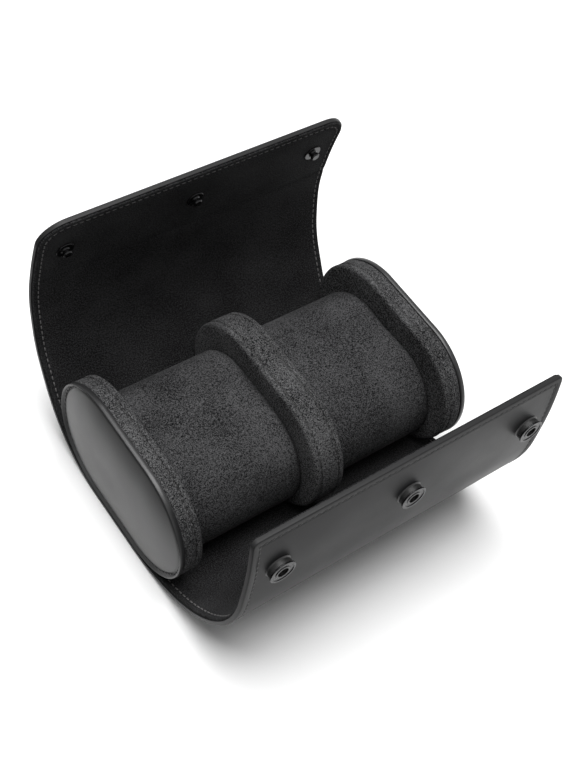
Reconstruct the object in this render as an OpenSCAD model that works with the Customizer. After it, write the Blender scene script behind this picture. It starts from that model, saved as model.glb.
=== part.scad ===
// Two-bay watch roll, lying open.
// X runs along the roll, -Y is the front, +Z is up. The origin is the middle of the flat underside.

/* [End caps] */
// Overall length of the roll, over both end caps
case_length = 150; // [120:1:220]
// Front-to-back size of an end cap
cap_w = 93; // [84:0.5:100]
// Height of an end cap
cap_h = 61.5; // [54:0.5:66]
// Thickness of an end cap, along the roll
cap_t = 11; // [9:0.5:16]
// Diameter of the leather piping round an end cap
piping_d = 2.6; // [2:0.1:3.4]
// Thickness of the leather disc on an end cap
disc_t = 1.2; // [0.8:0.1:1.6]
// Thickness of the lining on the caps, divider and cushions
cover_t = 1.2; // [0.8:0.1:1.6]

/* [Divider] */
// Thickness of the divider, along the roll
divider_t = 12; // [9:0.5:18]
// How far the divider's outline stays inside the end caps' outline
divider_inset = 0.4; // [0.2:0.1:2]

/* [Cushions] */
// Front-to-back size of a cushion
cushion_w = 76; // [66:0.5:80]
// Height of a cushion
cushion_h = 51; // [44:0.5:52]
// Gap between a cushion and each piece beside it
cushion_gap = 0.4; // [0.3:0.1:1.5]
// Thickness of a cushion's padded cover
cushion_cover_t = 3; // [2.6:0.1:5]

/* [Shell] */
// Width of the shell, along the roll
shell_w = 148; // [118:1:218]
// Thickness of the outer leather
leather_t = 1.2; // [1:0.1:1.6]
// Thickness of the stiffener board
board_t = 1; // [0.8:0.1:1.4]
// Thickness of the inner lining
lining_t = 0.8; // [0.6:0.1:1.2]
// Radius of the curve at the back of the floor
floor_back_r = 45; // [42:1:60]
// Turn of the curve at the back of the floor, in degrees
floor_back_turn = 36; // [30:1:40]
// Radius of the curve at the front of the floor
floor_front_r = 60; // [48:1:75]
// Turn of the curve at the front of the floor, in degrees
floor_front_turn = 19; // [15:1:23]
// Gap between a bend's round core and the panels beside it
bend_gap = 0.15; // [0.1:0.05:0.4]

/* [Rear flap] */
// Length of the lowest panel
rear_lower_len = 28; // [24:0.5:34]
// Length of the middle panel
rear_middle_len = 28; // [24:0.5:34]
// Length of the upper panel
rear_upper_len = 24; // [20:0.5:30]
// Length of the snap strip
rear_strip_len = 38; // [32:0.5:46]
// Radius to which the boards are curved
rear_board_r = 60; // [50:1:90]
// Radius to which the snap strip is curved
rear_strip_r = 200; // [120:5:400]
// Corner radius of the flap
rear_corner_r = 12; // [3:0.5:16]

/* [Front flap] */
// Length of the lowest panel
front_lower_len = 28; // [24:0.5:34]
// Length of the middle panel
front_middle_len = 28; // [24:0.5:34]
// Length of the upper panel
front_upper_len = 28; // [24:0.5:34]
// Length of the snap strip
front_strip_len = 38; // [32:0.5:44]
// Radius to which the boards are curved
front_board_r = 60; // [50:1:90]
// Radius to which the snap strip is curved
front_strip_r = 200; // [120:5:400]
// Corner radius of the flap
front_corner_r = 2.5; // [1:0.5:6]

/* [Snaps] */
// Distance from the middle snap to each outer one
snap_pitch = 61; // [44:1:90]
// Diameter of a snap socket
socket_d = 11.3; // [10:0.1:12.5]
// Height of a snap socket above the leather
socket_h = 3.2; // [2.8:0.1:3.4]
// Diameter of the hole in a snap socket
socket_bore_d = 4.6; // [4.4:0.1:5]
// Diameter of a snap stud's head
stud_d = 4; // [3.6:0.1:4.2]
// Height of a snap stud above the lining
stud_h = 2.8; // [2.6:0.1:3]
// Diameter of a snap stud's flange
stud_flange_d = 8; // [7:0.1:10]
// Diameter of the cap behind a snap stud
snap_cap_d = 12.4; // [10:0.1:14]
// Distance from the strip's bend to the sockets on the front flap
socket_from_bend = 15; // [12:0.5:20]
// Distance from the strip's bend to the studs on the rear flap
stud_from_bend = 18; // [14:0.5:24]

/* [Hidden] */
$fn = 64;

LEATHER = [0.07, 0.07, 0.075];
LINING = [0.16, 0.16, 0.17];
BOARD = [0.45, 0.42, 0.38];
FOAM = [0.75, 0.74, 0.70];
GUNMETAL = [0.30, 0.30, 0.32];
BLACK = [0.03, 0.03, 0.03];

shell_t = leather_t + board_t + lining_t;
// Depths of each layer, from the outside of the shell inwards
leather_layer = [0, leather_t];
board_layer = [leather_t, leather_t + board_t];
lining_layer = [leather_t + board_t, shell_t];

// The round core of a bend fills the shell's thickness, less a hair
bend_core_ease = 0.05;
bend_r = shell_t / 2 - bend_core_ease;
panel_end_gap = bend_r + bend_gap;

// Outline of the end caps: a straight middle with a half circle at each end
cap_end_r = cap_h / 2;
flat_half = cap_w / 2 - cap_end_r;
cap_mid_z = shell_t + cap_end_r;

// The angle that each panel sets off at, against the one before it, as the case lies open
rear_set = [0.5, -9.5, -7.5, -1.5];
front_set = [-4.5, -0.5, 0, -5.5];

// A flap is [[y, z, slope] where it leaves the floor, [[set, radius, length] for each panel]]
rear_flap = [
    floor_end(floor_back_r, floor_back_turn),
    [[rear_set[0], rear_board_r, rear_lower_len], [rear_set[1], rear_board_r, rear_middle_len],
     [rear_set[2], rear_board_r, rear_upper_len], [rear_set[3], rear_strip_r, rear_strip_len]]];
front_flap = [
    floor_end(floor_front_r, floor_front_turn),
    [[front_set[0], front_board_r, front_lower_len], [front_set[1], front_board_r, front_middle_len],
     [front_set[2], front_board_r, front_upper_len], [front_set[3], front_strip_r, front_strip_len]]];

// Snap stack: a rivet head lies in the board, and the shank goes out through the leather
shank_r = 1.2;
rivet_ease = 0.05;
shank_hole_r = shank_r + rivet_ease;
rivet_head_r = 4;
rivet_head_t = 0.6;

// Socket: a waisted drum with a foot and a lip, and a ring on it with a raised bead along each edge
drum_floor_t = 0.7;
drum_foot_t = 0.5;
drum_waist = 0.45;
drum_lip_t = 0.3;
drum_lip_inset = 0.1;
ring_t = 0.6;
ring_web_t = 0.3;
ring_bead_w = 0.8;
ring_bead_slope = 0.3;
ring_edge_r = 0.15;

// Stud: a flange, a neck and a bulb-shaped head; heights are from the lining or back from the tip
stud_flange_t = 0.4;
stud_flange_edge_t = 0.25;
stud_flange_round = 0.15;
stud_root_h = 0.8;
stud_neck_inset = 0.4;
stud_head_len = 1.2;
stud_head_slope = 0.4;
stud_tip_len = 0.5;
stud_tip_inset = 0.4;
stud_neck_r = stud_d / 2 - stud_neck_inset;
// The flange clears the hollow curve of the lining under its edge
stud_seat_ease = 0.02;
stud_seat_gap = stud_flange_d * stud_flange_d / 8 / (rear_strip_r - shell_t / 2) + stud_seat_ease;

// Cap behind a stud: a low dome with a rolled edge
snap_cap_h = 1.2;
snap_cap_edge_t = 0.4;
snap_cap_shoulder_t = 0.75;
snap_cap_shoulder_w = 0.5;
snap_cap_crown_share = 0.55;
snap_cap_crown_drop = 0.05;

// End caps: the disc's looseness and depth inside the rim, and how far the band lies inside the rim
disc_ease = 0.05;
disc_recess = 0.3;
band_inset = 0.2;

// Cushion: rings of points from one end to the other, drawn in at the ends
cushion_rings = 14;
cushion_sides = 40;
cushion_crown = 0.04;
cushion_end_power = 0.3;
cushion_side_power = 0.12;
cushion_section_power = 0.8;
cushion_floor_gap = 0.3;
cushion_flat_cut = 0.8;
bay_w = case_length / 2 - cap_t - divider_t / 2;
cushion_len = bay_w - 2 * cushion_gap;
cushion_mid_x = divider_t / 2 + bay_w / 2;
cushion_mid_z = shell_t + cushion_floor_gap + cushion_h / 2 - cushion_flat_cut;
// Size of a cushion's core against the cushion, before the cover's thickness comes off
cushion_core_w_share = 0.94;
cushion_core_h_share = 0.9;

// ---- Places along the shell ----

function floor_end(radius, turn) =
    [flat_half + radius * sin(turn), shell_t / 2 + radius * (1 - cos(turn)), turn];

// Where an arc that starts at [y, z, slope] ends, after a change of slope
function along(start, set, radius, length) =
    let (a = start[2] + set, b = a + length / radius * 180 / PI)
    [start[0] + radius * (sin(b) - sin(a)), start[1] + radius * (cos(a) - cos(b)), b];

// Where panel i of a flap starts
function panel_start(flap, i) =
    i == 0 ? flap[0]
           : let (p = flap[1][i - 1]) along(panel_start(flap, i - 1), p[0], p[1], p[2]);

// A point at a distance along panel i
function panel_point(flap, i, distance) =
    let (p = flap[1][i]) along(panel_start(flap, i), p[0], p[1], distance);

// ---- Shapes ----

// Draws a 2D outline in the YZ plane and gives it a width along X
module across(width) {
    rotate([90, 0, 90])
        linear_extrude(height = width, center = true)
            children();
}

// A slice of a ring, from angle a to angle b
module arc_band(inner_r, outer_r, a, b) {
    reach = outer_r * 1.3;
    mid = (a + b) / 2;
    intersection() {
        difference() {
            circle(r = outer_r);
            circle(r = inner_r);
        }
        polygon([[0, 0], reach * [cos(a), sin(a)], reach * [cos(mid), sin(mid)], reach * [cos(b), sin(b)]]);
    }
}

// One layer of the floor, seen from the end of the roll
module floor_outline(layer) {
    depth = layer[1] - layer[0];
    translate([-flat_half, layer[0]])
        square([2 * flat_half, depth]);
    floor_curve(floor_back_r, floor_back_turn, layer);
    mirror([1, 0])
        floor_curve(floor_front_r, floor_front_turn, layer);
}

module floor_curve(radius, turn, layer) {
    outer_r = radius + shell_t / 2;
    end_cut = panel_end_gap / radius * 180 / PI;
    translate([flat_half, outer_r])
        arc_band(outer_r - layer[1], outer_r - layer[0], -90, turn - 90 - end_cut);
}

// One layer of panel i of a flap, from beside its lower bend to a cut before its upper end
module panel_layer(flap, i, layer, upper_cut = panel_end_gap, width = shell_w) {
    p = flap[1][i];
    start = panel_start(flap, i);
    a = start[2] + p[0];
    outer_r = p[1] + shell_t / 2;
    end_cut = panel_end_gap / p[1] * 180 / PI;
    tip_cut = upper_cut / p[1] * 180 / PI;
    turn = p[2] / p[1] * 180 / PI;
    across(width)
        translate([start[0] - p[1] * sin(a), start[1] + p[1] * cos(a)])
            arc_band(outer_r - layer[1], outer_r - layer[0], a - 90 + end_cut, a - 90 + turn - tip_cut);
}

// The round core of the bend at the foot of panel i
module bend(flap, i) {
    start = panel_start(flap, i);
    color(LEATHER)
        translate([0, start[0], start[1]])
            rotate([0, 90, 0])
                cylinder(r = bend_r, h = shell_w, center = true);
}

// Puts children on the shell's middle plane: local Y runs up the flap, local Z points at the lining
module on_panel(flap, i, distance) {
    p = panel_point(flap, i, distance);
    translate([0, p[0], p[1]])
        rotate([p[2], 0, 0])
            children();
}

// The three snap places on the last panel of a flap
module at_snaps(flap, distance) {
    for (side = [-1, 0, 1])
        on_panel(flap, 3, distance)
            translate([side * snap_pitch, 0, 0])
                children();
}

// The outline of a snap strip, with rounded corners at the tip, as a block that runs through the shell
module strip_outline(flap, corner_r) {
    strip_len = flap[1][3][2];
    on_panel(flap, 3, strip_len)
        linear_extrude(height = 2 * strip_len, center = true) {
            translate([-shell_w / 2, -strip_len - shell_t])
                square([shell_w, strip_len + shell_t - corner_r]);
            translate([corner_r - shell_w / 2, -2 * corner_r])
                square([shell_w - 2 * corner_r, 2 * corner_r]);
            for (side = [-1, 1])
                translate([side * (shell_w / 2 - corner_r), -corner_r])
                    circle(r = corner_r);
        }
}

// One layer of a snap strip: a wider, longer panel cut to the outline
module strip_blank(flap, layer, corner_r) {
    intersection() {
        panel_layer(flap, 3, layer, -shell_t, shell_w + shell_t);
        strip_outline(flap, corner_r);
    }
}

module strip_layer(flap, layer, corner_r, snap_from_bend, hole_r) {
    difference() {
        strip_blank(flap, layer, corner_r);
        at_snaps(flap, snap_from_bend)
            cylinder(r = hole_r, h = 4 * shell_t, center = true);
    }
}

// Stadium outline of the caps and divider, drawn inside the real outline by inset
module stadium(inset) {
    r = cap_end_r - inset;
    square([2 * flat_half, 2 * r], center = true);
    for (side = [-1, 1])
        translate([side * flat_half, 0])
            circle(r = r);
}

// Lays a cap's outline plane across the roll, with its middle at the caps' height; local Z is X
module cap_plane(x) {
    translate([x, 0, cap_mid_z])
        rotate([90, 0, 90])
            children();
}

// A round cord that follows the caps' outline
module piping(radius) {
    path_r = cap_end_r - radius;
    for (side = [-1, 1]) {
        translate([side * flat_half, 0, 0])
            rotate([0, 0, side * -90])
                rotate_extrude(angle = 180)
                    translate([path_r, 0])
                        circle(r = radius);
        translate([0, side * path_r, 0])
            rotate([0, 90, 0])
                cylinder(r = radius, h = 2 * flat_half, center = true);
    }
}

// A band of lining that follows the outline, wrapped round a core
module gusset(inset, height) {
    linear_extrude(height = height)
        difference() {
            stadium(inset);
            stadium(inset + cover_t);
        }
}

// Points of a cushion's cover: an oval section that swells in the middle and closes at each end
function soft_sign(v, power) = sign(v) * pow(abs(v), power);
function cushion_ring(i) =
    let (turn = -90 + 180 * (i + 0.5) / cushion_rings,
         x = cushion_len / 2 * soft_sign(sin(turn), cushion_end_power),
         size = pow(cos(turn), cushion_side_power) * (1 - cushion_crown * pow(2 * x / cushion_len, 2)))
    [for (k = [0 : cushion_sides - 1])
        let (a = 360 * k / cushion_sides)
        [x, cushion_w / 2 * size * soft_sign(cos(a), cushion_section_power),
         max(-cushion_h / 2 + cushion_flat_cut,
             cushion_h / 2 * size * soft_sign(sin(a), cushion_section_power))]];

module cushion_form() {
    points = [for (i = [0 : cushion_rings - 1]) each cushion_ring(i),
              [-cushion_len / 2, 0, 0], [cushion_len / 2, 0, 0]];
    left_pole = cushion_rings * cushion_sides;
    last_ring = (cushion_rings - 1) * cushion_sides;
    skin = [for (i = [0 : cushion_rings - 2], k = [0 : cushion_sides - 1])
        let (a = i * cushion_sides + k,
             b = i * cushion_sides + (k + 1) % cushion_sides,
             c = a + cushion_sides,
             d = b + cushion_sides)
        each [[a, c, d], [a, d, b]]];
    left_end = [for (k = [0 : cushion_sides - 1]) [left_pole, k, (k + 1) % cushion_sides]];
    right_end = [for (k = [0 : cushion_sides - 1])
        [left_pole + 1, last_ring + (k + 1) % cushion_sides, last_ring + k]];
    polyhedron(points = points, faces = concat(skin, left_end, right_end), convexity = 4);
}

module cushion_core() {
    core_w = cushion_w * cushion_core_w_share - 2 * cushion_cover_t;
    core_h = cushion_h * cushion_core_h_share - 2 * cushion_cover_t;
    rotate([90, 0, 90])
        linear_extrude(height = cushion_len - 4 * cushion_cover_t, center = true) {
            square([core_w - core_h, core_h], center = true);
            for (side = [-1, 1])
                translate([side * (core_w - core_h) / 2, 0])
                    circle(d = core_h);
        }
}

// ---- Shell: floor ----

module base_leather() {
    color(LEATHER) across(shell_w) floor_outline(leather_layer);
}

module base_board() {
    color(BOARD) across(shell_w) floor_outline(board_layer);
}

module base_lining() {
    color(LINING) across(shell_w) floor_outline(lining_layer);
}

// ---- Shell: flaps ----

module lid_panel(i, layer, shade) {
    color(shade) panel_layer(rear_flap, i, layer);
}

module front_panel(i, layer, shade) {
    color(shade)
        mirror([0, 1, 0])
            panel_layer(front_flap, i, layer);
}

module lid_strip(layer, shade) {
    color(shade)
        strip_layer(rear_flap, layer, rear_corner_r, stud_from_bend, shank_hole_r);
}

module front_strip(layer, shade, hole_r) {
    color(shade)
        mirror([0, 1, 0])
            strip_layer(front_flap, layer, front_corner_r, socket_from_bend, hole_r);
}

module front_strip_board() {
    color(BOARD)
        mirror([0, 1, 0])
            difference() {
                strip_layer(front_flap, board_layer, front_corner_r, socket_from_bend, shank_hole_r);
                at_snaps(front_flap, socket_from_bend)
                    translate([0, 0, rivet_head_z()])
                        cylinder(r = rivet_head_r + rivet_ease, h = shell_t);
            }
}

module front_strip_lining() {
    color(LINING)
        mirror([0, 1, 0])
            strip_blank(front_flap, lining_layer, front_corner_r);
}

// ---- Snaps ----

// Height of the underside of a rivet's head, in a snap's own place
function rivet_head_z() = shell_t / 2 - lining_t - rivet_head_t - rivet_ease;

module socket_drum() {
    r = socket_d / 2;
    bore = socket_bore_d / 2;
    low = -shell_t / 2;
    top = low - socket_h + ring_t;
    rotate_extrude()
        polygon([[shank_hole_r, low], [r, low], [r - drum_waist, low - drum_foot_t],
                 [r - drum_waist, top + drum_lip_t], [r - drum_lip_inset, top], [bore, top],
                 [bore, low - drum_floor_t], [shank_hole_r, low - drum_floor_t]]);
}

module socket_ring() {
    r = socket_d / 2;
    bore = socket_bore_d / 2;
    low = -shell_t / 2 - socket_h + ring_t;
    web = low - ring_web_t;
    top = low - ring_t;
    bead_foot = ring_bead_w + ring_bead_slope;
    rotate_extrude()
        polygon([[bore, low], [r, low], [r, top + ring_edge_r], [r - ring_edge_r, top], [r - ring_bead_w, top],
                 [r - bead_foot, web], [bore + bead_foot, web], [bore + ring_bead_w, top],
                 [bore + ring_edge_r, top], [bore, top + ring_edge_r]]);
}

module socket_rivet() {
    head_z = rivet_head_z();
    shank_end = -shell_t / 2 - drum_floor_t + rivet_ease;
    translate([0, 0, head_z])
        cylinder(r = rivet_head_r, h = rivet_head_t);
    translate([0, 0, shank_end])
        cylinder(r = shank_r, h = head_z - shank_end + 2 * rivet_ease);
}

module stud() {
    low = -shell_t / 2;
    face = shell_t / 2 + stud_seat_gap;
    flange_r = stud_flange_d / 2;
    head_r = stud_d / 2;
    tip = face + stud_h;
    rotate_extrude()
        polygon([[0, low], [shank_r, low], [shank_r, face], [flange_r, face],
                 [flange_r, face + stud_flange_edge_t], [flange_r - stud_flange_round, face + stud_flange_t],
                 [head_r, face + stud_flange_t], [stud_neck_r, face + stud_root_h],
                 [stud_neck_r, tip - stud_head_len - stud_head_slope], [head_r, tip - stud_head_len],
                 [head_r, tip - stud_tip_len], [head_r - stud_tip_inset, tip], [0, tip]]);
}

module stud_cap() {
    low = -shell_t / 2;
    r = snap_cap_d / 2;
    rotate_extrude()
        polygon([[0, low], [r, low], [r, low - snap_cap_edge_t],
                 [r - snap_cap_shoulder_w, low - snap_cap_shoulder_t],
                 [r * snap_cap_crown_share, low - snap_cap_h + snap_cap_crown_drop], [0, low - snap_cap_h]]);
}

module front_snaps(shade) {
    color(shade)
        mirror([0, 1, 0])
            at_snaps(front_flap, socket_from_bend)
                children();
}

module rear_snaps(shade) {
    color(shade)
        at_snaps(rear_flap, stud_from_bend)
            children();
}

// ---- End caps, from the outside inwards; side is -1 for the left cap and 1 for the right ----

rim_depth = piping_d;
core_start = case_length / 2 - rim_depth;
face_start = case_length / 2 - cap_t + cover_t;

module cap_side(side) {
    mirror([side < 0 ? 1 : 0, 0, 0])
        children();
}

module cap_rim(side) {
    color(LEATHER)
        cap_side(side)
            cap_plane(case_length / 2 - piping_d / 2)
                piping(piping_d / 2);
}

module cap_disc(side) {
    color(LEATHER)
        cap_side(side)
            cap_plane(case_length / 2 - disc_recess - disc_t)
                linear_extrude(height = disc_t)
                    stadium(piping_d + disc_ease);
}

module cap_core(side) {
    color(FOAM)
        cap_side(side) {
            cap_plane(core_start)
                linear_extrude(height = rim_depth - disc_recess - disc_t)
                    stadium(piping_d + disc_ease);
            cap_plane(face_start)
                linear_extrude(height = core_start - face_start)
                    stadium(cover_t + band_inset);
        }
}

module cap_band(side) {
    color(LINING)
        cap_side(side)
            cap_plane(face_start)
                gusset(band_inset, core_start - face_start);
}

module cap_face(side) {
    color(LINING)
        cap_side(side)
            cap_plane(face_start - cover_t)
                linear_extrude(height = cover_t)
                    stadium(band_inset);
}

// ---- Divider ----

module divider_core() {
    color(FOAM)
        cap_plane(cover_t - divider_t / 2)
            linear_extrude(height = divider_t - 2 * cover_t)
                stadium(divider_inset + cover_t);
}

module divider_band() {
    color(LINING)
        cap_plane(cover_t - divider_t / 2)
            gusset(divider_inset, divider_t - 2 * cover_t);
}

module divider_face(side) {
    color(LINING)
        cap_side(side)
            cap_plane(divider_t / 2 - cover_t)
                linear_extrude(height = cover_t)
                    stadium(divider_inset);
}

// ---- Cushions ----

module cushion_cover(side) {
    color(LINING)
        translate([side * cushion_mid_x, 0, cushion_mid_z])
            difference() {
                cushion_form();
                cushion_core();
            }
}

module cushion_filling(side) {
    color(FOAM)
        translate([side * cushion_mid_x, 0, cushion_mid_z])
            cushion_core();
}

// ---- Nodes ----

base_leather();
base_board();
base_lining();
lid_panel(0, leather_layer, LEATHER);  // lid_lower_leather
lid_panel(0, board_layer, BOARD);  // lid_lower_board
lid_panel(0, lining_layer, LINING);  // lid_lower_lining
lid_panel(1, leather_layer, LEATHER);  // lid_middle_leather
lid_panel(1, board_layer, BOARD);  // lid_middle_board
lid_panel(1, lining_layer, LINING);  // lid_middle_lining
lid_panel(2, leather_layer, LEATHER);  // lid_upper_leather
lid_panel(2, board_layer, BOARD);  // lid_upper_board
lid_panel(2, lining_layer, LINING);  // lid_upper_lining
lid_strip(leather_layer, LEATHER);  // lid_strip_leather
lid_strip(board_layer, BOARD);  // lid_strip_board
lid_strip(lining_layer, LINING);  // lid_strip_lining
bend(rear_flap, 0);  // lid_lower_bend
bend(rear_flap, 1);  // lid_middle_bend
bend(rear_flap, 2);  // lid_upper_bend
bend(rear_flap, 3);  // lid_strip_bend
front_panel(0, leather_layer, LEATHER);  // front_lower_leather
front_panel(0, board_layer, BOARD);  // front_lower_board
front_panel(0, lining_layer, LINING);  // front_lower_lining
front_panel(1, leather_layer, LEATHER);  // front_middle_leather
front_panel(1, board_layer, BOARD);  // front_middle_board
front_panel(1, lining_layer, LINING);  // front_middle_lining
front_panel(2, leather_layer, LEATHER);  // front_upper_leather
front_panel(2, board_layer, BOARD);  // front_upper_board
front_panel(2, lining_layer, LINING);  // front_upper_lining
front_strip(leather_layer, LEATHER, shank_hole_r);  // front_strip_leather
front_strip_board();
front_strip_lining();
mirror([0, 1, 0]) bend(front_flap, 0);  // front_lower_bend
mirror([0, 1, 0]) bend(front_flap, 1);  // front_middle_bend
mirror([0, 1, 0]) bend(front_flap, 2);  // front_upper_bend
mirror([0, 1, 0]) bend(front_flap, 3);  // front_strip_bend
cap_rim(-1);  // left_cap_rim
cap_disc(-1);  // left_cap_disc
cap_core(-1);  // left_cap_core
cap_band(-1);  // left_cap_band
cap_face(-1);  // left_cap_face
cap_rim(1);  // right_cap_rim
cap_disc(1);  // right_cap_disc
cap_core(1);  // right_cap_core
cap_band(1);  // right_cap_band
cap_face(1);  // right_cap_face
divider_core();
divider_band();
divider_face(-1);  // divider_left_face
divider_face(1);  // divider_right_face
cushion_cover(-1);  // left_cushion_cover
cushion_filling(-1);  // left_cushion_core
cushion_cover(1);  // right_cushion_cover
cushion_filling(1);  // right_cushion_core
front_snaps(BLACK) socket_drum();  // snap_socket_drums
front_snaps(GUNMETAL) socket_ring();  // snap_socket_rings
front_snaps(GUNMETAL) socket_rivet();  // snap_socket_rivets
rear_snaps(GUNMETAL) stud();  // snap_studs
rear_snaps(GUNMETAL) stud_cap();  // snap_stud_caps
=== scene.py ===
"""A two-bay watch roll in black leather, lying open on a pale floor."""

import math
from collections import namedtuple

import bmesh
import bpy
import numpy as np
from mathutils import Matrix, Vector


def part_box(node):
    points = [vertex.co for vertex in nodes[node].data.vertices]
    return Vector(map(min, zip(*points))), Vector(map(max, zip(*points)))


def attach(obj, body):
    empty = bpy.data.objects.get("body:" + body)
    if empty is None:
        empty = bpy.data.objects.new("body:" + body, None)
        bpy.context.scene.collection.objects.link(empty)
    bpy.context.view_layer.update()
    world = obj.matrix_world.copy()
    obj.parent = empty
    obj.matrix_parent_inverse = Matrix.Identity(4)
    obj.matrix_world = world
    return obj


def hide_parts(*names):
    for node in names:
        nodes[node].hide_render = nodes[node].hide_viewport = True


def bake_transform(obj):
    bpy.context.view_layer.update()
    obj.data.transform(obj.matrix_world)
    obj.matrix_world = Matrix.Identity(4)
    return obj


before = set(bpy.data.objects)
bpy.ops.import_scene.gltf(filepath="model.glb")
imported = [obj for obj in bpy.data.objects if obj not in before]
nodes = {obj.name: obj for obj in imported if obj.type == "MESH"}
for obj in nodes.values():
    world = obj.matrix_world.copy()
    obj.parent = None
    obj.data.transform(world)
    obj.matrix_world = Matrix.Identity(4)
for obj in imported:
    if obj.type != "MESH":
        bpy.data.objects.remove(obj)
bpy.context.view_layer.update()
mm = 0.001

# ---- Camera ----
# The roll is seen from the front left and from above, with the camera tilted, so that
# the roll's long way climbs across the upright picture.
view_azimuth = math.radians(-48.36)
view_elevation = math.radians(53.04)
view_roll = math.radians(15.99)
view_distance = 560.84 * mm
view_target = Vector((0, 0, 33.9 * mm))
view_offset = (-9.33 * mm, -10.41 * mm)

back = Vector((
    math.sin(view_azimuth) * math.cos(view_elevation),
    -math.cos(view_azimuth) * math.cos(view_elevation),
    math.sin(view_elevation)))
level = (-back).cross(Vector((0, 0, 1))).normalized()
upright = level.cross(-back)
camera_x = math.cos(view_roll) * level + math.sin(view_roll) * upright
camera_y = math.cos(view_roll) * upright - math.sin(view_roll) * level
camera_place = (view_target + view_distance * back
                - view_offset[0] * camera_x - view_offset[1] * camera_y)

bpy.ops.object.select_all(action="DESELECT")
bpy.ops.object.camera_add()
camera = bpy.context.object
camera.name = "camera"
camera.matrix_world = Matrix((
    (camera_x.x, camera_y.x, back.x, camera_place.x),
    (camera_x.y, camera_y.y, back.y, camera_place.y),
    (camera_x.z, camera_y.z, back.z, camera_place.z),
    (0, 0, 0, 1)))
camera.data.sensor_width = 36
camera.data.lens = 60.94
camera.data.clip_start = 0.01
camera.data.clip_end = 10
bpy.context.scene.camera = camera
bpy.context.scene.view_settings.view_transform = "Standard"

# ---- Floor, sky and lamps ----
# A white table top in a white room, under a large soft lamp overhead and a weak one from the
# left. Only part of the room's white lights the roll. To the left of the roll the table is dark
# to gloss rays only: a painted reflection, which darkens the upper part of the left cap's disc.
room_light = 0.17
table_white = (0.86, 0.86, 0.86, 1)
# The table's colour in gloss left of the roll: a painted dark reflection
painted_reflection_dark = (0.05, 0.05, 0.05, 1)
dark_from, dark_all = -0.1, -0.125
fade_from, fade_all = 0.3, 0.9


def feed(tree, node, inputs):
    """Gives each named input of a node its value, or links it to the output that feeds it."""
    for name, value in inputs.items():
        if isinstance(value, bpy.types.NodeSocket):
            tree.links.new(value, node.inputs[name])
        else:
            node.inputs[name].default_value = value


def add_node(tree, kind, inputs, **settings):
    """Adds a shader node with its settings and inputs."""
    node = tree.nodes.new(kind)
    for name, value in settings.items():
        setattr(node, name, value)
    feed(tree, node, inputs)
    return node


def add_math(tree, operation, *terms):
    """The output of a node that does a sum with numbers or outputs."""
    return add_node(tree, "ShaderNodeMath", dict(enumerate(terms)), operation=operation).outputs[0]


def mix_colours(tree, factor, first, second, blend_type="MIX"):
    """The output of a node that goes from one colour to another."""
    mix = add_node(tree, "ShaderNodeMix", {"Factor": factor, "A": first, "B": second},
                   data_type="RGBA", blend_type=blend_type)
    return mix.outputs["Result"]


def show_white(tree, seen):
    """1 for the rays that see the white background: of the camera, of gloss and through glass."""
    shown = seen.outputs["Is Camera Ray"]
    for kind in ("Is Glossy Ray", "Is Transmission Ray"):
        shown = add_math(tree, "MAXIMUM", shown, seen.outputs[kind])
    return shown


def start_material(name, values):
    """A new material, with the values that are the same all over set on its shader."""
    material = bpy.data.materials.new(name)
    material.use_nodes = True
    shader = material.node_tree.nodes["Principled BSDF"]
    feed(material.node_tree, shader, values)
    return material, material.node_tree, shader


bpy.ops.object.select_all(action="DESELECT")
bpy.ops.mesh.primitive_plane_add(size=8)
table_top = bpy.context.object
table_top.name = "table_top"

table_paint, tree, shader = start_material("table_paint", {
    "Roughness": 0.9, "Specular IOR Level": 0.1, "Emission Color": (1, 1, 1, 1)})
seen = add_node(tree, "ShaderNodeLightPath", {})
place = add_node(tree, "ShaderNodeTexCoord", {})
along = add_node(tree, "ShaderNodeSeparateXYZ", {0: place.outputs["Object"]})
# Left of the roll the table turns dark for gloss rays only, a painted reflection, and its glow
# there is taken off for them too
leftward = add_node(tree, "ShaderNodeMapRange", {
    "Value": along.outputs["X"], "From Min": dark_from, "From Max": dark_all},
    interpolation_type="SMOOTHSTEP")
painted_reflection_dim = add_math(tree, "MULTIPLY", leftward.outputs["Result"], seen.outputs["Is Glossy Ray"])
away = add_node(tree, "ShaderNodeVectorMath", {0: place.outputs["Object"]}, operation="LENGTH")
fade = add_node(tree, "ShaderNodeMapRange", {
    "Value": away.outputs["Value"], "From Min": fade_from, "From Max": fade_all})
white = add_math(tree, "SUBTRACT", show_white(tree, seen), painted_reflection_dim)
feed(tree, shader, {
    "Base Color": mix_colours(tree, painted_reflection_dim, table_white, painted_reflection_dark),
    "Emission Strength": add_math(tree, "MULTIPLY", fade.outputs["Result"], white)})
table_top.data.materials.append(table_paint)

world = bpy.data.worlds.new("studio")
bpy.context.scene.world = world
world.use_nodes = True
tree = world.node_tree
seen = add_node(tree, "ShaderNodeLightPath", {})
feed(tree, tree.nodes["Background"], {
    "Color": (1, 1, 1, 1),
    "Strength": add_math(tree, "MULTIPLY_ADD", show_white(tree, seen), 1 - room_light, room_light)})


def add_lamp(name, place, aim, size, watts):
    """A square soft lamp that points at a place on the roll."""
    bpy.ops.object.select_all(action="DESELECT")
    bpy.ops.object.light_add(type="AREA", location=place)
    lamp = bpy.context.object
    lamp.name = name
    lamp.data.size = size
    lamp.data.energy = watts
    lamp.rotation_euler = (Vector(aim) - Vector(place)).to_track_quat("-Z", "Y").to_euler()


add_lamp("lamp_overhead", (-0.05, 0.07, 1.3), (0, 0, 0), 1.0, 31)
add_lamp("lamp_left", (-1.0, -0.1, 0.6), (0, 0, 0.05), 0.6, 1)

# ---- The wrap: shape ----
# One long cover is the floor, the tall rear flap and the short front flap. It is cut flat,
# as leather over a stiffener and a lining, then bent round the ends and sewn at its edge.
half_thickness = 1.5 * mm
floor_flat = 15.75 * mm
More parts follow.
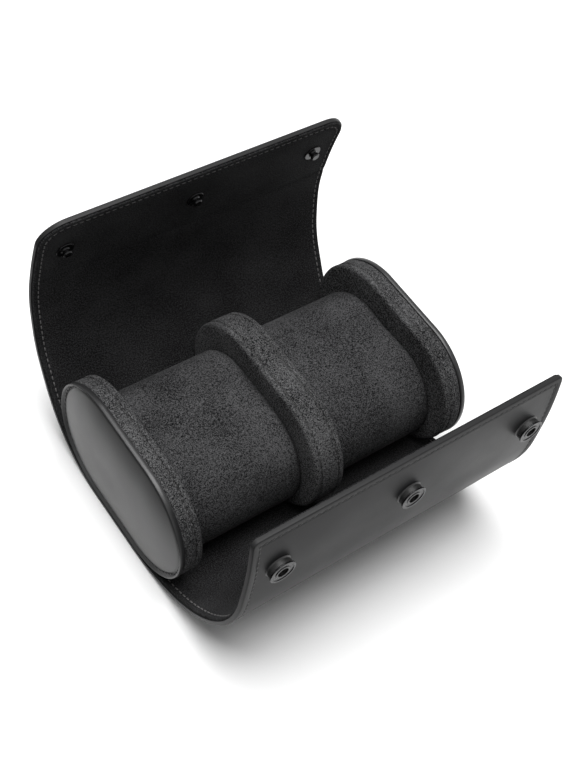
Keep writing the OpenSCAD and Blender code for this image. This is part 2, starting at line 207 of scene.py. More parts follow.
# The radius of the floor's curve and its turn in degrees. Then for each panel: the angle that
# it sets off at, its radius and its length.
rear_floor = (45 * mm, 36)
rear_panels = [(0.5, 60 * mm, 28 * mm), (-9.5, 60 * mm, 28 * mm),
               (-7.5, 60 * mm, 24 * mm), (-1.5, 200 * mm, 38 * mm)]
front_floor = (60 * mm, 19)
front_panels = [(-4.5, 60 * mm, 28 * mm), (-0.5, 60 * mm, 28 * mm),
                (0, 60 * mm, 28 * mm), (-5.5, 200 * mm, 38 * mm)]
path_step = 0.25 * mm
bend_softness = 11 * mm


def trace_flap(floor_curve, panels):
    """Distances from mid-floor to a flap's tip, with the slope and the place at each."""
    runs = [(0, 0, floor_flat)]
    runs += [(0, 1 / floor_curve[0], floor_curve[0] * math.radians(floor_curve[1]))]
    runs += [(math.radians(sets), 1 / radius, length) for sets, radius, length in panels]
    tip = sum(run[2] for run in runs)
    distance = np.arange(-bend_softness, tip + bend_softness + path_step, path_step)
    slope = np.zeros(len(distance))
    start = 0
    for sets, curvature, length in runs:
        last = length if start + length < tip - path_step else length + bend_softness
        slope += (np.where(distance >= start, sets, 0)
                  + curvature * np.clip(distance - start, 0, last))
        start += length
    reach = int(bend_softness / path_step / 2)
    soft = np.convolve(slope, np.ones(2 * reach + 1) / (2 * reach + 1), mode="same")
    kept = (distance > -path_step / 2) & (distance < tip + path_step)
    distance, soft = distance[kept], soft[kept]
    middle = (soft[1:] + soft[:-1]) / 2
    along = np.concatenate([[0], np.cumsum(np.cos(middle))]) * path_step
    height = np.concatenate([[0], np.cumsum(np.sin(middle))]) * path_step
    return {"distance": distance, "slope": soft, "along": along,
            "height": half_thickness + height, "tip": tip}


rear_path = trace_flap(rear_floor, rear_panels)
front_path = trace_flap(front_floor, front_panels)


def roll_up(points):
    """Bends flat points (along the roll, distance from mid-floor, height inwards) into place."""
    points = np.asarray(points, float).reshape(-1, 3)
    out = np.empty_like(points)
    out[:, 0] = points[:, 0]
    for side, path in ((1, rear_path), (-1, front_path)):
        here = points[:, 1] > 0 if side > 0 else points[:, 1] <= 0
        far, inward = np.abs(points[here, 1]), points[here, 2]
        slope = np.interp(far, path["distance"], path["slope"])
        along = np.interp(far, path["distance"], path["along"])
        height = np.interp(far, path["distance"], path["height"])
        out[here, 1] = side * (along - np.sin(slope) * inward)
        out[here, 2] = height + np.cos(slope) * inward
    return out


def find_bends(floor_curve, panels):
    """How far each bend of a flap is from mid-floor."""
    places = [floor_flat + floor_curve[0] * math.radians(floor_curve[1])]
    for panel in panels[:-1]:
        places.append(places[-1] + panel[2])
    return places


rear_bends = find_bends(rear_floor, rear_panels)
front_bends = find_bends(front_floor, front_panels)
rear_bodies = ["base", "lid_lower", "lid_middle", "lid_upper", "lid_strip"]
front_bodies = ["base", "front_lower", "front_middle", "front_upper", "front_strip"]

# The wrap in stretches with one bend each: the two bodies that a stretch joins, its bend, and
# where it starts and ends. The front's distances are negative.
Stretch = namedtuple("Stretch", "lower upper bend low high")
stretches = []
for side, bends, bodies, path in ((1, rear_bends, rear_bodies, rear_path),
                                  (-1, front_bends, front_bodies, front_path)):
    halfway = [(a + b) / 2 for a, b in zip(bends, bends[1:])]
    joins = [0] + halfway + [path["tip"] + 10 * mm]
    for i, bend in enumerate(bends):
        low, high = sorted((side * joins[i], side * joins[i + 1]))
        stretches.append(Stretch(bodies[i], bodies[i + 1], side * bend, low, high))

# ---- The wrap: leather ----
# Smooth black hide with a fine pebbled grain. Its edge is turned over the stiffener towards
# the inside, painted, and held by a row of stitches 3 mm in, which pulls a channel.
wrap_w = 148 * mm
front_corner = 2.5 * mm
rear_corner = 12 * mm
turned_edge = 0.5 * mm
# How far to each side of a bend hang_stretch puts the bend's start and end
panel_reach = 9 * mm
strip_reach = 5 * mm
# Places nearer than this count as one
hair = 1e-6
# Only the two broad faces of a layer are larger than this, in square metres
broad_face = 0.02


def start_mesh(name, add, **given):
    """Adds a primitive with nothing else selected, and opens it for editing."""
    bpy.ops.object.select_all(action="DESELECT")
    add(**given)
    piece = bpy.context.object
    piece.name = name
    piece.data.name = name
    bpy.ops.object.transform_apply(location=True, rotation=True, scale=True)
    bpy.ops.object.mode_set(mode="EDIT")
    return piece


def pick(piece, kind, test):
    """Selects the faces, edges or vertices that pass a test, and nothing else."""
    bpy.ops.mesh.select_mode(type=kind)
    bpy.ops.mesh.select_all(action="DESELECT")
    shape = bmesh.from_edit_mesh(piece.data)
    parts = {"FACE": shape.faces, "EDGE": shape.edges, "VERT": shape.verts}[kind]
    for part in parts:
        if test(part):
            part.select_set(True)
    shape.select_flush_mode()
    bmesh.update_edit_mesh(piece.data)


def finish_mesh(piece, smooth_angle=38):
    """Closes a piece for editing, turns its faces outwards and shades it."""
    bpy.ops.mesh.select_all(action="SELECT")
    bpy.ops.mesh.normals_make_consistent(inside=False)
    bpy.ops.object.mode_set(mode="OBJECT")
    smooth_mesh(piece, smooth_angle)


def smooth_mesh(piece, smooth_angle):
    """Shades a piece smooth, but for its edges that are sharper than an angle."""
    bpy.ops.object.select_all(action="DESELECT")
    piece.select_set(True)
    bpy.context.view_layer.objects.active = piece
    bpy.ops.object.shade_smooth_by_angle(angle=math.radians(smooth_angle))


def cut_layer(name, low_z, high_z, edge_gap):
    """A flat block the size of the wrap, with rounded corners, open for editing."""
    width = wrap_w - 2 * edge_gap
    front, rear = front_path["tip"] - edge_gap, rear_path["tip"] - edge_gap
    piece = start_mesh(name, bpy.ops.mesh.primitive_cube_add, size=1,
                       location=(0, (rear - front) / 2, (low_z + high_z) / 2),
                       scale=(width, front + rear, high_z - low_z))
    for tip, corner, segments in ((-front, front_corner, 3), (rear, rear_corner, 10)):
        pick(piece, "EDGE", lambda e: all(abs(v.co.y - tip) < hair for v in e.verts)
             and abs(e.verts[0].co.x - e.verts[1].co.x) < hair)
        bpy.ops.mesh.bevel(offset=corner - edge_gap, segments=segments, affect="EDGES")
    return piece


def pick_broad_face(piece, facing):
    """Selects the one broad face of a layer that looks up (1) or down (-1)."""
    pick(piece, "FACE", lambda f: f.normal.z * facing > 0.9 and f.calc_area() > broad_face)


def inset_in_steps(steps):
    """Insets the selected face in steps of (width, depth), in mm."""
    for width, depth in steps:
        bpy.ops.mesh.inset(thickness=width * mm, depth=depth * mm)


def round_rim(piece, offset, segments, flat):
    """Rounds the edge of a layer's upper face, and leaves a flat margin inside it."""
    pick(piece, "EDGE", lambda e: len({f for f in e.link_faces if f.normal.z > 0.9}) == 1
         and all(v.co.z > half_thickness - hair for v in e.verts))
    bpy.ops.mesh.bevel(offset=offset, segments=segments, affect="EDGES")
    pick_broad_face(piece, 1)
    bpy.ops.mesh.inset(thickness=flat, depth=0)


def square_front_corners(piece, inset):
    """Draws the small curve of each front corner together, where it's too tight to inset."""
    reach, slack = 1.2 * mm, 0.01 * mm
    for side in (-1, 1):
        corner = Vector((side * (wrap_w / 2 - inset), inset - front_path["tip"], half_thickness))
        pick(piece, "VERT", lambda v: (v.co - corner).length < reach
             and abs(v.co.x) < wrap_w / 2 - inset + slack
             and v.co.y > inset - front_path["tip"] - slack)
        bpy.context.scene.cursor.location = corner
        bpy.ops.mesh.merge(type="CURSOR")
    bpy.context.scene.cursor.location = (0, 0, 0)


def list_cuts(extra=()):
    """Where a layer is cut across: every 2 mm, and closer beside the joins of the pieces."""
    places = [i * 2 * mm + 0.7 * mm for i in range(-81, 84)]
    for part in stretches:
        for join in (part.low, part.high):
            places += [join + 0.4 * mm, join - 0.4 * mm]
    places += list(extra)
    front, rear = -front_path["tip"] + 0.1 * mm, rear_path["tip"] - 0.1 * mm
    return sorted(place for place in places if front < place < rear)


def cut_across(piece, places):
    """Cuts the flat layer across the roll, so that it can bend there."""
    bpy.ops.mesh.select_mode(type="FACE")
    for place in places:
        bpy.ops.mesh.select_all(action="SELECT")
        bpy.ops.mesh.bisect(plane_co=(0, place, 0), plane_no=(0, 1, 0))


def map_flat(piece):
    """Gives a flat piece a map in metres, which the leather's grain and the lining's nap follow."""
    chart = piece.data.uv_layers.active or piece.data.uv_layers.new(name="flat")
    corners = np.empty(len(piece.data.loops), int)
    piece.data.loops.foreach_get("vertex_index", corners)
    places = np.array([v.co for v in piece.data.vertices])[corners]
    chart.data.foreach_set("uv", places[:, :2].astype(np.float32).ravel())


def bend_points(piece, outward):
    """Rolls a flat piece up. One that lies outside was modelled face up, and is turned over."""
    places = np.array([v.co for v in piece.data.vertices])
    if outward:
        places[:, 2] *= -1
    piece.data.vertices.foreach_set("co", roll_up(places).astype(np.float32).ravel())
    piece.data.update()
    if outward:
        piece.data.flip_normals()


def hang_stretch(piece, part):
    """Works out where the bend of a stretch starts and ends, and bakes the piece's placing into its
    mesh.
    """
    lower, upper, bend = part.lower, part.upper, part.bend
    reach = strip_reach if upper in ("lid_strip", "front_strip") else panel_reach
    toward_tip = math.copysign(reach, bend)
    start, end = roll_up([(0, bend - toward_tip, 0), (0, bend + toward_tip, 0)])
    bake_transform(piece)


def part_off(whole, suffix, outward):
    """Cuts a layer into its stretches and rolls them up."""
    made = {}
    for part in stretches:
        piece = whole.copy()
        piece.data = whole.data.copy()
        piece.name = piece.data.name = f"{part.upper}_{suffix}"
        bpy.context.scene.collection.objects.link(piece)
        bpy.ops.object.select_all(action="DESELECT")
        piece.select_set(True)
        bpy.context.view_layer.objects.active = piece
        bpy.ops.object.mode_set(mode="EDIT")
        for place, cleared in ((part.low, "clear_inner"), (part.high, "clear_outer")):
            bpy.ops.mesh.select_all(action="SELECT")
            bpy.ops.mesh.bisect(plane_co=(0, place, 0), plane_no=(0, 1, 0), use_fill=True,
                                **{cleared: True})
        finish_mesh(piece)
        map_flat(piece)
        bend_points(piece, outward)
        hang_stretch(piece, part)
        made[part.upper] = piece
    bpy.data.objects.remove(whole)
    return made


leather_whole = cut_layer("wrap_leather", -turned_edge, half_thickness, 0)
round_rim(leather_whole, 0.6 * mm, 4, 1.0 * mm)
square_front_corners(leather_whole, 1.6 * mm)
pick_broad_face(leather_whole, 1)
inset_in_steps([(1.0, -0.1), (0.35, -0.2), (0.45, 0), (0.35, 0.15)])
pick_broad_face(leather_whole, -1)
bpy.ops.mesh.inset(thickness=0.5 * mm, depth=0)
bpy.ops.mesh.inset(thickness=0.05 * mm, depth=-turned_edge)
cut_across(leather_whole, list_cuts())
finish_mesh(leather_whole)


def start_group(name, inputs, outputs):
    """A new node group, from (kind, name, value) for each input and (kind, name) for an output."""
    group = bpy.data.node_groups.new(name, "ShaderNodeTree")
    for kind, label, value in inputs:
        socket = group.interface.new_socket(name=label, in_out="INPUT",
                                            socket_type=kind)
        if value is not None:
            socket.default_value = value
    for kind, label in outputs:
        group.interface.new_socket(name=label, in_out="OUTPUT", socket_type=kind)
    return group, group.nodes.new("NodeGroupInput").outputs, group.nodes.new("NodeGroupOutput")


def add_relief(tree, shader, height, strength, depth):
    """Bumps a finish by a height."""
    relief = add_node(tree, "ShaderNodeBump", {
        "Height": height, "Strength": strength, "Distance": depth})
    feed(tree, shader, {"Normal": relief.outputs["Normal"]})


def make_hide_group():
    """Fine leather grain: pebbles and pores as height, and slow changes of colour and gloss."""
    group, given, result = start_group("hide", [
        ("NodeSocketVector", "Place", None),
        ("NodeSocketColor", "Colour", (0.02, 0.02, 0.02, 1)),
        ("NodeSocketFloat", "Roughness", 0.45),
        ("NodeSocketFloat", "Pebble Size", 0.6 * mm)], [
        ("NodeSocketColor", "Colour"), ("NodeSocketFloat", "Roughness"),
        ("NodeSocketFloat", "Height")])
    per_metre = add_math(group, "DIVIDE", 1, given["Pebble Size"])
    pebbles = add_node(group, "ShaderNodeTexVoronoi", {
        "Vector": given["Place"], "Scale": per_metre}, feature="SMOOTH_F1")
    pores, slow = [
        add_node(group, "ShaderNodeTexNoise", {
            "Vector": given["Place"], "Scale": scale, "Detail": detail})
        for scale, detail in ((per_metre, 3), (45, 4))]
    shade = add_node(group, "ShaderNodeMapRange", {
        "Value": slow.outputs["Fac"],
        "From Min": 0.3, "From Max": 0.7, "To Min": 0.92, "To Max": 1.08}).outputs["Result"]
    feed(group, result, {
        "Height": add_math(group, "ADD", pebbles.outputs["Distance"], pores.outputs["Fac"]),
        "Colour": mix_colours(group, 1, given["Colour"], shade, blend_type="MULTIPLY"),
        "Roughness": add_math(group, "MULTIPLY", given["Roughness"], shade)})
    return group


hide_group = make_hide_group()


def make_leather(name, colour, roughness, gloss, follow, bump):
    """A leather whose grain follows the flat map ("UV") or the piece itself ("Object")."""
    material, tree, shader = start_material(name, {"Specular IOR Level": gloss})
    place = add_node(tree, "ShaderNodeTexCoord", {})
    hide = add_node(tree, "ShaderNodeGroup", {
        "Place": place.outputs[follow], "Colour": (*colour, 1), "Roughness": roughness,
        "Pebble Size": 0.6 * mm}, node_tree=hide_group)
    feed(tree, shader, {"Base Color": hide.outputs["Colour"],
                        "Roughness": hide.outputs["Roughness"]})
    add_relief(tree, shader, hide.outputs["Height"], bump, 0.1 * mm)
    return material


wrap_hide = make_leather("wrap_hide", (0.011, 0.011, 0.0114), 0.46, 0.16, "UV", 0.12)
leather_whole.data.materials.append(wrap_hide)
leather_parts = part_off(leather_whole, "hide", outward=True)
for panel, piece in leather_parts.items():
    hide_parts(panel + "_leather", panel + "_board", panel + "_bend")
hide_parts("base_leather", "base_board")

# ---- The wrap: lining ----
# Charcoal microfibre with a short brushed nap, laid inside the turned edge of the leather.
# A shallow crease crosses it where the stiff snap strip of the rear flap starts.
lining_gap = 0.6 * mm
lining_back = 0.02 * mm
crease_at = rear_bends[3]
crease_depth = 0.45 * mm
crease_width = 1.4 * mm
crease_cuts = [crease_at + step * mm for step in (-3.2, -2.4, -1.6, -0.8, 0, 0.8, 1.6, 2.4, 3.2)]

lining_whole = cut_layer("wrap_lining", lining_back, half_thickness, lining_gap)
round_rim(lining_whole, 0.5 * mm, 3, 0.6 * mm)
square_front_corners(lining_whole, lining_gap + 1.1 * mm)
pick_broad_face(lining_whole, 1)
inset_in_steps([(0.8, -0.08), (0.35, -0.18), (0.4, 0), (0.35, 0.18)])
cut_across(lining_whole, list_cuts(crease_cuts))
bpy.ops.object.mode_set(mode="OBJECT")
for v in lining_whole.data.vertices:
    if v.co.z > 0.5 * mm:
        v.co.z -= crease_depth * math.exp(-(((v.co.y - crease_at) / crease_width) ** 2))
bpy.ops.object.mode_set(mode="EDIT")
finish_mesh(lining_whole)


def make_nap_group():
    """Short brushed nap: bright and dark fibre tips, clumps of them, and slow brushed patches."""
    tips_share = 0.8
    group, given, result = start_group("nap", [
        ("NodeSocketVector", "Place", None),
        ("NodeSocketColor", "Shaded", (0.01, 0.01, 0.01, 1)),
        ("NodeSocketColor", "Lit", (0.08, 0.08, 0.08, 1)),
        ("NodeSocketFloat", "Patches", 0.3)], [
        ("NodeSocketColor", "Colour"), ("NodeSocketFloat", "Height")])
    tips, clumps, brushed = [
        add_node(group, "ShaderNodeTexNoise", {
            "Vector": given["Place"], "Scale": scale, "Detail": detail})
        for scale, detail in ((2300, 2), (1000, 2), (38, 3))]
    coarse = add_math(group, "MULTIPLY", clumps.outputs["Fac"], 1 - tips_share)
    fine = add_math(group, "MULTIPLY_ADD", tips.outputs["Fac"], tips_share, coarse)
    slow = add_math(group, "SUBTRACT", brushed.outputs["Fac"], 0.5)
    spread = add_node(group, "ShaderNodeMapRange", {
        "Value": add_math(group, "MULTIPLY_ADD", slow, given["Patches"], fine),
        "From Min": 0.41, "From Max": 0.64})
    feed(group, result, {
        "Height": fine,
        "Colour": mix_colours(group, spread.outputs["Result"], given["Shaded"], given["Lit"])})
    return group


nap_group = make_nap_group()


def make_nap(name, shaded, lit, follow):
    """A microfibre whose nap follows the flat map ("UV") or the piece itself ("Object")."""
    material, tree, shader = start_material(name, {
        "Roughness": 0.95, "Specular IOR Level": 0.03, "Sheen Weight": 0.04,
        "Sheen Roughness": 0.4, "Sheen Tint": (0.35, 0.35, 0.36, 1)})
    place = add_node(tree, "ShaderNodeTexCoord", {})
    nap = add_node(tree, "ShaderNodeGroup", {
        "Place": place.outputs[follow], "Shaded": (*shaded, 1), "Lit": (*lit, 1),
        "Patches": 0.2}, node_tree=nap_group)
    feed(tree, shader, {"Base Color": nap.outputs["Colour"]})
    add_relief(tree, shader, nap.outputs["Height"], 0.3, 0.35 * mm)
    return material


wrap_nap = make_nap("wrap_nap", (0.002, 0.002, 0.0021), (0.033, 0.033, 0.034), "UV")
lining_whole.data.materials.append(wrap_nap)
lining_parts = part_off(lining_whole, "nap", outward=False)
for panel, piece in lining_parts.items():
    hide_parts(panel + "_lining")
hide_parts("base_lining")

# ---- The wrap: stitches ----
# Waxed thread, one row 3 mm inside the edge all round. It shows as short black dashes on the
# leather. On the lining the same black thread is coloured a paler grey: a painted highlight for
# the light that the raised nap along the row catches.
stitch_pitch = 2.9 * mm
thread_width = 0.6 * mm
corner_steps = 8


def make_thread(name, colour, roughness):
    """Waxed thread: twisted plies as a fine slanting ripple."""
    material, tree, shader = start_material(name, {
        "Roughness": roughness, "Specular IOR Level": 0.5})
    place = add_node(tree, "ShaderNodeTexCoord", {})
    plies = add_node(tree, "ShaderNodeTexWave", {
        "Vector": place.outputs["Object"], "Scale": 700, "Distortion": 1.5},
        bands_direction="DIAGONAL").outputs["Fac"]
    dark = (*[0.5 * c for c in colour], 1)
    feed(tree, shader, {"Base Color": mix_colours(tree, plies, dark, (*colour, 1))})
    add_relief(tree, shader, plies, 0.4, 0.1 * mm)
    return material


black_thread = make_thread("black_thread", (0.012, 0.012, 0.012), 0.5)
# Black thread coloured pale grey: a painted highlight for the light caught along the lining's row
painted_highlight_thread = make_thread("painted_highlight_thread", (0.08, 0.077, 0.077), 0.7)


def model_stitch(length):
    """One stitch, lying along Y: a thread that dives into the hide at both ends."""
    stitch = start_mesh("stitch", bpy.ops.mesh.primitive_cylinder_add, vertices=6,
                        radius=thread_width / 2, depth=length, rotation=(math.radians(90), 0, 0))
    for share in (-0.3, 0.3):
        bpy.ops.mesh.select_all(action="SELECT")
        bpy.ops.mesh.bisect(plane_co=(0, share * length, 0), plane_no=(0, 1, 0))
    bpy.ops.object.mode_set(mode="OBJECT")
    for v in stitch.data.vertices:
        end = abs(v.co.y) / (length / 2)
        if end > 0.9:
            v.co.z = v.co.z * 0.5 - thread_width * 0.55
            v.co.x *= 0.6
    return stitch


def sew(name, stitch, places, material):
    """Copies one stitch to each place: a point, the way ahead, and the way out of the hide."""
    one = np.array([v.co for v in stitch.data.vertices])
    sides = [list(p.vertices) for p in stitch.data.polygons]
    points, faces = [], []
    for place, ahead, out in places:
        turn = np.array([np.cross(ahead, out), ahead, out])
        faces += [[i + len(points) * len(one) for i in side] for side in sides]
        points.append(one @ turn + np.array(place))
    mesh = bpy.data.meshes.new(name)
    mesh.from_pydata(np.concatenate(points).tolist(), [], faces)
    mesh.materials.append(material)
    row = bpy.data.objects.new(name, mesh)
    bpy.context.scene.collection.objects.link(row)
    smooth_mesh(row, 60)
    return row


def seam_round_wrap(inset, height):
    """Places along a line that keeps one distance from the edge of the wrap, in the flat."""
    half = wrap_w / 2 - inset
    front, rear = -front_path["tip"] + inset, rear_path["tip"] - inset
    line = []
    for x_sign, y_sign, tip, corner, start in (
            (1, 1, rear, rear_corner, 0), (-1, 1, rear, rear_corner, 90),
            (-1, -1, front, front_corner, 180), (1, -1, front, front_corner, 270)):
        radius = max(corner - inset, 0.3 * mm)
        centre = (x_sign * (half - radius), tip - y_sign * radius)
        for step in range(corner_steps + 1):
            a = math.radians(start + step * 90 / corner_steps)
            line.append((centre[0] + radius * math.cos(a), centre[1] + radius * math.sin(a)))
    line = np.array(line + [line[0]])
    run = np.concatenate([[0], np.cumsum(np.linalg.norm(np.diff(line, axis=0), axis=1))])

    def point_at(at):
        return np.array([np.interp(at, run, line[:, 0]), np.interp(at, run, line[:, 1])])

    count = int(run[-1] / stitch_pitch)
    places = []
    for i in range(count):
        at = (i + 0.5) * run[-1] / count
        here = point_at(at)
        ahead = point_at(at + 0.2 * mm) - here
        ahead /= np.linalg.norm(ahead)
        places.append(((here[0], here[1], height), (ahead[0], ahead[1], 0), (0, 0, 1)))
    return places


def sew_wrap(suffix, stitch, inset, height, outward, material):
    """Sews the row round one face of the wrap, in a piece for each stretch."""
    places = seam_round_wrap(inset, height)
    for part in stretches:
        mine = [place for place in places if part.low <= place[0][1] < part.high]
        row = sew(f"{part.upper}_{suffix}", stitch, mine, material)
        bend_points(row, outward)
        hang_stretch(row, part)


hide_stitch = model_stitch(2.2 * mm)
sew_wrap("stitches", hide_stitch, 3.2 * mm, half_thickness - 0.3 * mm, True, black_thread)
sew_wrap("lining_stitches", hide_stitch, lining_gap + 2.45 * mm, half_thickness - 0.2 * mm,
         False, painted_highlight_thread)
bpy.data.objects.remove(hide_stitch)

# ---- End caps: leather panel ----
# A disc of the same hide over thin foam, sewn down just inside a rolled leather rim. The
# shape is turned as a round, then pulled apart in the middle into the long oval.
oval_half = 15.75 * mm
oval_steps = 80
cap_mid_z = 33.75 * mm
# Takes what was shaped flat, with the oval's long way along X, to its place across the roll
stand_up = Matrix(((0, 0, 1, 0), (1, 0, 0, 0), (0, 1, 0, cap_mid_z), (0, 0, 0, 1)))
panel_groove_r = 28.9 * mm
panel_groove_x = 73.0 * mm
dome_r = 28.2
dome_foot = 73.3
dome_rise = 2.1


def pull_apart(piece, reach):
    """Moves the two halves of a round apart along X, which makes it a long oval."""
    for side in (-1, 1):
        pick(piece, "VERT", lambda v: v.co.x * side > 0)
        bpy.ops.transform.translate(value=(side * reach, 0, 0))


def turn_oval(name, profile):
    """Turns a closed round from (radius, height) pairs in mm, and makes it the caps' oval."""
    radius, height = profile[0]
    piece = start_mesh(name, bpy.ops.mesh.primitive_circle_add, vertices=oval_steps,
                       radius=radius * mm, fill_type="NGON", location=(0, 0, height * mm),
                       rotation=(0, 0, math.pi / oval_steps))
    for next_radius, next_height in profile[1:]:
        bpy.ops.mesh.extrude_region_move(
            TRANSFORM_OT_translate={"value": (0, 0, (next_height - height) * mm)})
        share = next_radius / radius
        bpy.ops.transform.resize(value=(share, share, 1),
                                 center_override=(0, 0, next_height * mm))
        radius, height = next_radius, next_height
    pull_apart(piece, oval_half)
    finish_mesh(piece)
    piece.data.transform(stand_up)
    return piece


def mirror_copy(piece, name):
    """The same piece for the left end, with its faces turned back outwards."""
    twin = piece.copy()
    twin.data = piece.data.copy()
    twin.name = twin.data.name = name
    twin.data.transform(Matrix.Scale(-1, 4, (1, 0, 0)))
    twin.data.flip_normals()
    bpy.context.scene.collection.objects.link(twin)
    return twin


def seam_round_oval(radius, height, on_band):
    """Places along a flat oval line: on the oval's face, or on the band that runs round it."""
    straight, bend_run = 2 * oval_half, math.pi * radius
    total = 2 * (straight + bend_run)
    count = int(total / stitch_pitch)
    places = []
    for i in range(count):
        at = (i + 0.5) * total / count
        if at < straight:
            middle, a = oval_half - at, math.pi / 2
        elif at < straight + bend_run:
            middle, a = -oval_half, math.pi / 2 + (at - straight) / radius
        elif at < 2 * straight + bend_run:
            middle, a = -oval_half + at - straight - bend_run, -math.pi / 2
        else:
            middle, a = oval_half, -math.pi / 2 + (at - 2 * straight - bend_run) / radius
        outward = (math.cos(a), math.sin(a), 0)
        places.append(((middle + radius * outward[0], radius * outward[1], height),
                       (-outward[1], outward[0], 0), outward if on_band else (0, 0, 1)))
    return places


cap_hide = make_leather("cap_hide", (0.013, 0.013, 0.0134), 0.36, 0.36, "Object", 0.1)
# Radius and distance from the middle of the roll, in mm: the rim, the groove, then the dome
panel_profile = [
    (29.4, 71.7), (30.45, 71.75), (30.7, 72.1), (30.75, 72.8), (30.7, 73.5), (30.5, 74.0),
    (30.15, 74.2), (29.8, 74.05), (29.55, 73.6), (29.3, 73.1), (28.9, 72.85), (28.5, 72.9),
    (28.2, 73.15)]
for radius in (27.6, 26.6, 25.0, 23.0, 20.5, 17.5, 14.0, 10.0, 6.0, 2.5):
    panel_profile.append((radius, dome_foot + dome_rise * (1 - (radius / dome_r) ** 2.5)))
right_panel = turn_oval("right_cap_panel", panel_profile)
right_panel.data.materials.append(cap_hide)
left_panel = mirror_copy(right_panel, "left_cap_panel")

oval_stitch = model_stitch(2.1 * mm)
right_row = sew("right_cap_stitches", oval_stitch,
                seam_round_oval(panel_groove_r, panel_groove_x, False), black_thread)
right_row.data.transform(stand_up)
left_row = mirror_copy(right_row, "left_cap_stitches")
for side, panel, row in (("left", left_panel, left_row), ("right", right_panel, right_row)):
    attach(panel, "base")
    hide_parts(side + "_cap_rim", side + "_cap_disc")
    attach(row, "base")

# ---- End caps: lined pad ----
# The inside of each end is foam in microfibre. A seam runs round the band near its inner
# edge, and the lining stands up in a soft welt beyond it.
band_seam_r = 29.8 * mm
pad_seam_x = 66.25 * mm
cap_nap = make_nap("cap_nap", (0.004, 0.004, 0.0042), (0.1, 0.1, 0.102), "Object")
# Radius and distance from the middle of the roll, in mm: the band, the seam, the welt and
# the face
pad_profile = [
    (28.6, 71.8), (29.8, 71.75), (30.25, 71.4), (30.45, 70.7), (30.52, 69.4), (30.5, 68.0),
    (30.4, 67.0), (30.15, 66.6), (29.7, 66.4), (29.7, 66.1), (30.15, 65.9), (30.5, 65.5),
    (30.62, 65.0), (30.6, 64.4), (30.35, 63.8), (29.85, 63.4), (29.1, 63.2), (28.2, 63.2),
    (24.0, 63.3), (16.0, 63.4), (4.0, 63.4)]
right_pad = turn_oval("right_cap_pad", pad_profile)
right_pad.data.materials.append(cap_nap)
left_pad = mirror_copy(right_pad, "left_cap_pad")
right_seam = sew("right_cap_seam", oval_stitch,
                 seam_round_oval(band_seam_r, pad_seam_x, True), black_thread)
right_seam.data.transform(stand_up)
left_seam = mirror_copy(right_seam, "left_cap_seam")
for side, pad, seam in (("left", left_pad, left_seam), ("right", right_pad, right_seam)):
    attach(pad, "base")
    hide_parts(side + "_cap_band", side + "_cap_face", side + "_cap_core")
    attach(seam, "base")

# ---- Divider ----
# A foam slab in microfibre between the two bays. Its band is sewn to the faces by two
# seams, each just in from an edge.
divider_seam_x = 4.35 * mm
# Radius and distance from mid-roll, in mm: one face, its edge, the seam and half the band
divider_half = [
    (4.0, 6.9), (16.0, 7.0), (26.0, 7.1), (28.8, 7.2), (29.6, 7.05), (30.1, 6.7), (30.35, 6.2),
    (30.4, 5.5), (30.3, 4.95), (30.1, 4.7), (29.65, 4.5), (29.65, 4.2), (30.1, 4.0),
    (30.35, 3.7), (30.45, 3.0), (30.5, 1.2)]
divider_profile = divider_half + [(radius, -x) for radius, x in reversed(divider_half)]
divider = turn_oval("divider", divider_profile)
divider_nap = make_nap("divider_nap", (0.004, 0.004, 0.0042), (0.1, 0.1, 0.102), "Object")
divider.data.materials.append(divider_nap)
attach(divider, "base")
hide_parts("divider_core", "divider_band", "divider_left_face", "divider_right_face")
for side, x in (("left", -divider_seam_x), ("right", divider_seam_x)):
    seam = sew("divider_seam_" + side, oval_stitch, seam_round_oval(band_seam_r, x, True),
               black_thread)
    seam.data.transform(stand_up)
    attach(seam, "base")
bpy.data.objects.remove(oval_stitch)

# ---- Cushions ----
# Two foam rolls in microfibre, one for each bay. They stand between the ends and the divider,
# held by nothing but their snug fit, and lift out.
cushion_fuller = 0.2 * mm
cushion_end_gap = 0.6 * mm
cushion_edge = 2.5 * mm
cushion_sides = 48
stuffing_frames = 20
most_swell = 1.0 * mm
stand_proud = 1.2 * mm
cushion_nap = make_nap("cushion_nap", (0.004, 0.004, 0.0042), (0.068, 0.068, 0.07), "Object")
low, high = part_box("right_cushion_cover")
cushion_size = high - low
cushion_mid = (high + low) / 2
cushion_round = cushion_size.z / 2 + cushion_fuller
cushion_flat = cushion_size.y / 2 + cushion_fuller - cushion_round
cushion = start_mesh("right_cushion", bpy.ops.mesh.primitive_cylinder_add,
                     vertices=cushion_sides, radius=cushion_round,
                     depth=cushion_size.x - cushion_end_gap,
                     rotation=(0, 0, math.pi / cushion_sides))
pull_apart(cushion, cushion_flat)
pick(cushion, "EDGE", lambda e: any(abs(f.normal.z) > 0.9 for f in e.link_faces)
     and not all(abs(f.normal.z) > 0.9 for f in e.link_faces))
bpy.ops.mesh.bevel(offset=cushion_edge, segments=4, affect="EDGES")
finish_mesh(cushion)
cushion.data.transform(Matrix((
    (0, 0, 1, cushion_mid.x), (1, 0, 0, cushion_mid.y), (0, 1, 0, cushion_mid.z),
    (0, 0, 0, 1))))
skin = cushion.modifiers.new("remesh", "REMESH")
skin.mode = "VOXEL"
skin.voxel_size = 1.8 * mm
skin.use_smooth_shade = True
bpy.ops.object.modifier_apply(modifier=skin.name)

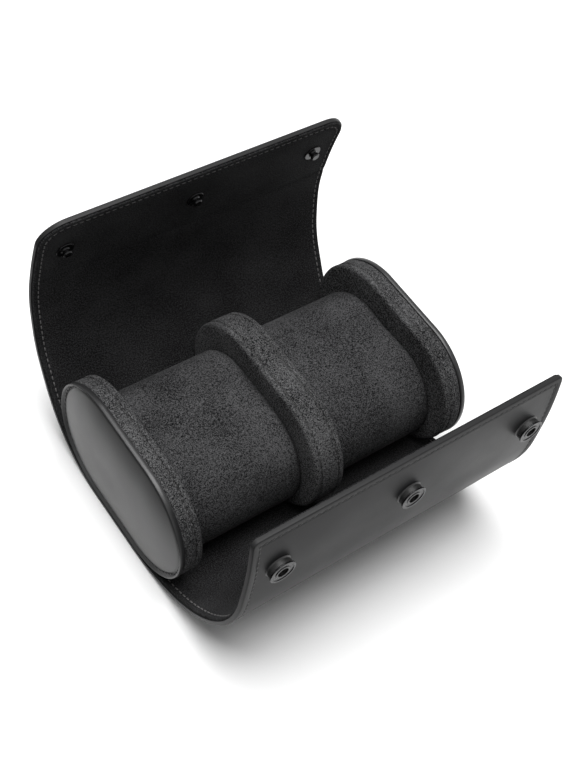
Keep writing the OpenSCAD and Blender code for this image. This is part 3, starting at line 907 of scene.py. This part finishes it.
before = np.array([v.co for v in cushion.data.vertices])
stuffing = cushion.modifiers.new("stuffing", "CLOTH")
stuffing.settings.use_pressure = True
stuffing.settings.uniform_pressure_force = 4
stuffing.settings.quality = 6
stuffing.settings.effector_weights.gravity = 0
stuffing.point_cache.frame_end = stuffing_frames
for step in range(1, stuffing_frames + 1):
    bpy.context.scene.frame_set(step)
bpy.ops.object.modifier_apply(modifier=stuffing.name)
bpy.context.scene.frame_set(1)
after = np.array([v.co for v in cushion.data.vertices])
moved = after - before
length = np.linalg.norm(moved, axis=1, keepdims=True)
after = before + moved * np.minimum(1, most_swell / np.maximum(length, 1e-9))
lowest = np.array(low) - np.array([0, stand_proud, 0])
highest = np.array(high) + np.array([0, stand_proud, stand_proud])
after = np.clip(after, lowest, highest)
cushion.data.vertices.foreach_set("co", after.astype(np.float32).ravel())
cushion.data.update()
finer = cushion.modifiers.new("finer", "SUBSURF")
finer.levels = finer.render_levels = 1
bpy.ops.object.modifier_apply(modifier=finer.name)
cushion.data.materials.clear()
cushion.data.materials.append(cushion_nap)
left_cushion = mirror_copy(cushion, "left_cushion")
for side, piece in (("left", left_cushion), ("right", cushion)):
    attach(piece, side + "_cushion")
    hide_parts(side + "_cushion_cover", side + "_cushion_core")

# ---- Press snaps ----
# Sockets stand on the leather of the front flap: a black drum with a dark metal ring face.
# Studs stand in the lining of the rear flap, each held by a domed cap outside.


def make_metal(name, colour, roughness, metallic, scratch):
    """Plated or enamelled metal with fine rubbing marks."""
    material, tree, shader = start_material(name, {"Metallic": metallic})
    place = add_node(tree, "ShaderNodeTexCoord", {})
    marks = add_node(tree, "ShaderNodeTexNoise", {
        "Vector": place.outputs["Object"], "Scale": 900, "Detail": 5}).outputs["Fac"]
    gloss = add_node(tree, "ShaderNodeMapRange", {
        "Value": marks, "To Min": roughness - scratch, "To Max": roughness + scratch})
    dark, pale = [(*[share * c for c in colour], 1) for share in (0.8, 1.2)]
    feed(tree, shader, {"Roughness": gloss.outputs["Result"],
                        "Base Color": mix_colours(tree, marks, dark, pale)})
    return material


snap_enamel = make_metal("snap_enamel", (0.01, 0.01, 0.01), 0.4, 0.0, 0.08)
snap_gunmetal = make_metal("snap_gunmetal", (0.03, 0.03, 0.031), 0.28, 1.0, 0.1)
for name, material in (("snap_socket_drums", snap_enamel), ("snap_socket_rings", snap_gunmetal),
                       ("snap_socket_rivets", snap_gunmetal), ("snap_studs", snap_gunmetal),
                       ("snap_stud_caps", snap_gunmetal)):
    nodes[name].data.materials.clear()
    nodes[name].data.materials.append(material)
